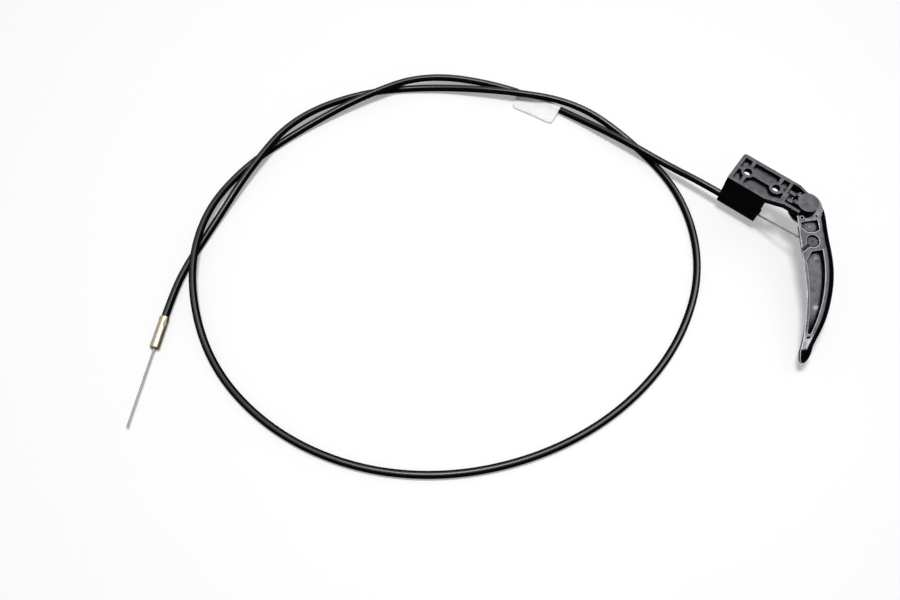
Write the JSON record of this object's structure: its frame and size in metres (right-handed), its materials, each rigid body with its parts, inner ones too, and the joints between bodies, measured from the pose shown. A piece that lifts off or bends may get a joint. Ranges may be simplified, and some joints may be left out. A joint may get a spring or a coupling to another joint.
{
  "type": "hood release cable",
  "caption": "Sheathed pull cable with a moulded mounting bracket and curved hand lever at one end and a crimped ferrule with bare wire at the other, for releasing a vehicle's hood latch.",
  "frame": {"origin": "midway between the two screw holes, on the bracket's mounting face", "axes": "+Z out of the mounting face, +X along the bracket towards the lever's pivot, and the cable lies on a floor 38 mm below the mounting face"},
  "size_m": [0.3892, 0.3865, 0.038],
  "materials": {
    "nylon": "matte",
    "gloss_moulding": "gloss",
    "sheath_pvc": "satin",
    "passivated_steel": "satin",
    "wire_steel": "satin",
    "zinc": "dull",
    "pin_steel": "satin",
    "label_paper": "matte"
  },
  "bodies": {
    "bracket": {"bracket": "nylon", "pivot_pin": "pin_steel", "outer_sheath": "sheath_pvc", "sheath_end_cap": "pin_steel", "end_ferrule": "passivated_steel", "cable_label": "label_paper"},
    "lever": {"handle_lever": "gloss_moulding"},
    "pull_wire": {"cable_barrel": "zinc", "lever_wire": "wire_steel"},
    "free_wire": {"free_wire": "wire_steel"}
  },
  "joints": [
    {"name": "lever_swing", "type": "hinge", "parent": "bracket", "child": "lever", "pos_m": [0.0328, 0.0029, -0.008], "axis": [0, 0, 1], "range_deg": [0, 45]},
    {"name": "barrel_swivel", "type": "hinge", "parent": "lever", "child": "pull_wire", "pos_m": [0.04882, -0.0157, -0.0115], "axis": [0, 0, 1], "range_deg": [-27.9, 0]},
    {"name": "wire_draw", "type": "slide", "parent": "bracket", "child": "free_wire", "axis": [-0.4456, 0.8953, 0], "range_m": [0, 0.00856]}
  ],
  "couplings": [
    {"joint": "barrel_swivel", "follows": "lever_swing", "ratio": -0.619},
    {"joint": "wire_draw", "follows": "lever_swing", "m_per_rad": 0.0108}
  ]
}
